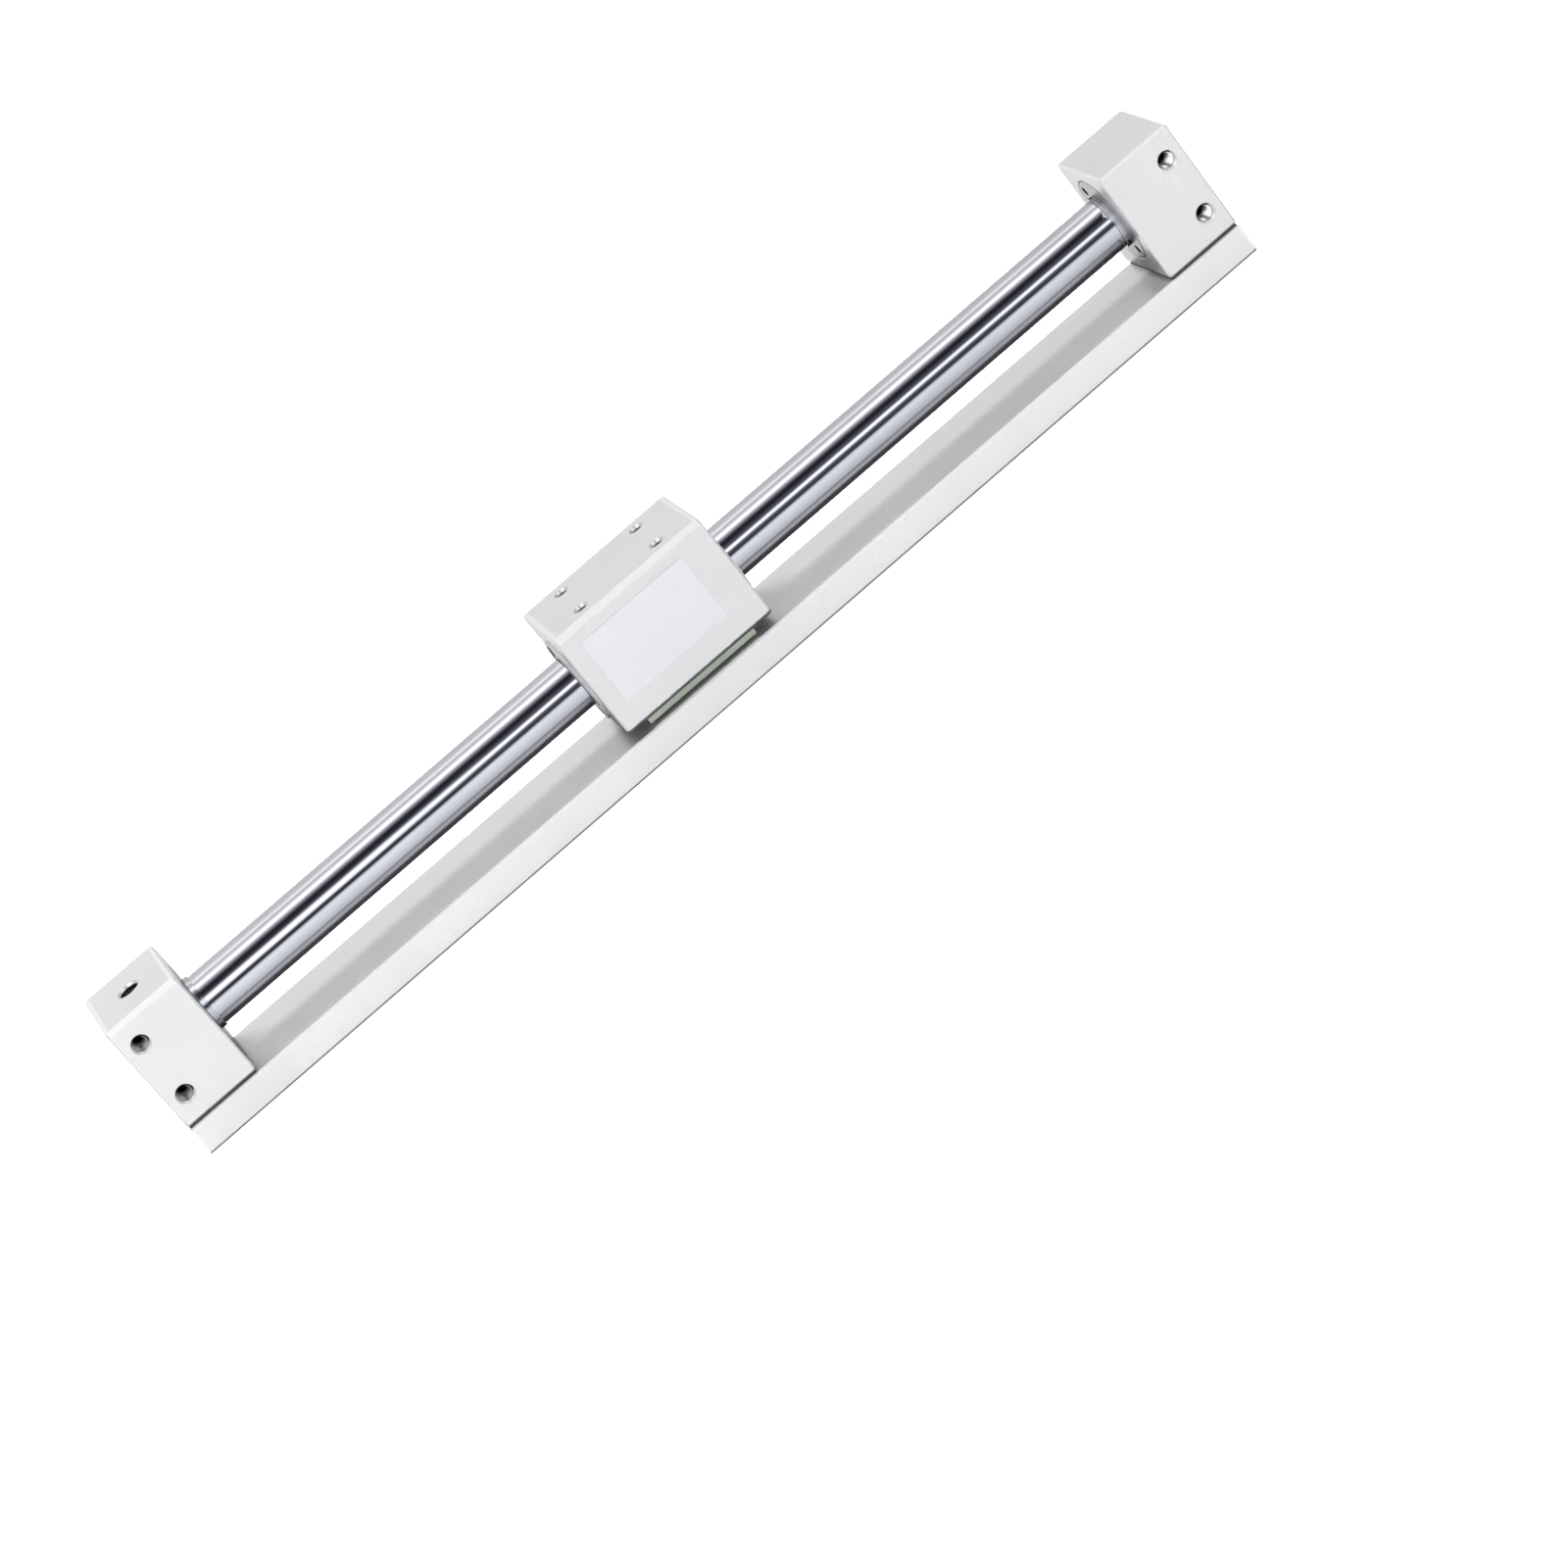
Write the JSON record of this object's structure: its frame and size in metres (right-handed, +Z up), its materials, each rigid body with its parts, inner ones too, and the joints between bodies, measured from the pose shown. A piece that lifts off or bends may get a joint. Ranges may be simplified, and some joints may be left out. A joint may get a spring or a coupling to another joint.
{
  "type": "rodless pneumatic cylinder",
  "caption": "Magnetically coupled rodless air cylinder: block slider on a polished tube between two end plates, above a flat switch rail.",
  "frame": {"origin": "middle of the rail's underside, below the tube's axis, at half the overall length", "axes": "+X along the tube towards the end plate with the port in its end face, +Y away from the front with the mounting threads, +Z up from the rail to the slider's top"},
  "size_m": [0.2798, 0.026, 0.035],
  "materials": {
    "anodised_aluminium": "clear anodised, satin",
    "polished_stainless": "polished",
    "ring_aluminium": "turned, clear anodised",
    "nitrile_rubber": "matt black",
    "urethane": "matt dark grey",
    "spring_steel": "phosphated, bright edges",
    "screw_steel": "plated",
    "scraper_metal": "turned, light grey",
    "wear_resin": "dark resin",
    "oiled_felt": "oil-filled felt",
    "nickel_plated_steel": "nickel plated",
    "yoke_steel": "rolled steel",
    "magnet": "plated rare-earth magnet",
    "chromated_steel": "zinc plated, pale green-grey chromate",
    "stainless_shaft": "ground",
    "nut_steel": "zinc plated",
    "piston_brass": "turned"
  },
  "bodies": {
    "frame": {"switch_rail": "anodised_aluminium", "end_plate_left": "anodised_aluminium", "end_plate_right": "anodised_aluminium", "cylinder_tube": "polished_stainless", "rail_gasket_left": "nitrile_rubber", "rail_gasket_right": "nitrile_rubber", "rail_screws": "screw_steel", "lock_ring_left": "ring_aluminium", "lock_ring_right": "ring_aluminium", "tube_gasket_left": "nitrile_rubber", "tube_gasket_right": "nitrile_rubber", "tube_snap_ring_left": "spring_steel", "tube_snap_ring_right": "spring_steel"},
    "slider": {"slider_body": "anodised_aluminium", "scraper_left": "scraper_metal", "slider_retaining_ring_left": "spring_steel", "slider_wear_ring_left": "wear_resin", "lube_retainer_left": "oiled_felt", "spacer_left": "nickel_plated_steel", "scraper_right": "scraper_metal", "slider_retaining_ring_right": "spring_steel", "slider_wear_ring_right": "wear_resin", "lube_retainer_right": "oiled_felt", "spacer_right": "nickel_plated_steel", "outer_yoke_1": "yoke_steel", "outer_yoke_2": "yoke_steel", "outer_yoke_3": "yoke_steel", "outer_yoke_4": "yoke_steel", "outer_yoke_5": "yoke_steel", "outer_magnet_1": "magnet", "outer_magnet_2": "magnet", "outer_magnet_3": "magnet", "outer_magnet_4": "magnet", "shield_plate": "chromated_steel", "shield_screws": "screw_steel", "switch_magnet": "magnet"},
    "piston": {"piston_shaft": "stainless_shaft", "piston_left": "piston_brass", "piston_seal_left": "nitrile_rubber", "piston_wear_ring_left": "wear_resin", "piston_nut_left": "nut_steel", "piston_bumper_left": "urethane", "piston_right": "piston_brass", "piston_seal_right": "nitrile_rubber", "piston_wear_ring_right": "wear_resin", "piston_nut_right": "nut_steel", "piston_bumper_right": "urethane", "inner_yoke_1": "yoke_steel", "inner_yoke_2": "yoke_steel", "inner_yoke_3": "yoke_steel", "inner_yoke_4": "yoke_steel", "inner_yoke_5": "yoke_steel", "inner_magnet_1": "magnet", "inner_magnet_2": "magnet", "inner_magnet_3": "magnet", "inner_magnet_4": "magnet"}
  },
  "joints": [
    {"name": "slider_slide", "type": "slide", "parent": "frame", "child": "slider", "axis": [1, 0, 0], "range_m": [-0.097, 0.103]},
    {"name": "piston_slide", "type": "slide", "parent": "frame", "child": "piston", "axis": [1, 0, 0], "range_m": [-0.097, 0.103]}
  ],
  "couplings": [
    {"joint": "piston_slide", "follows": "slider_slide", "ratio": 1}
  ]
}
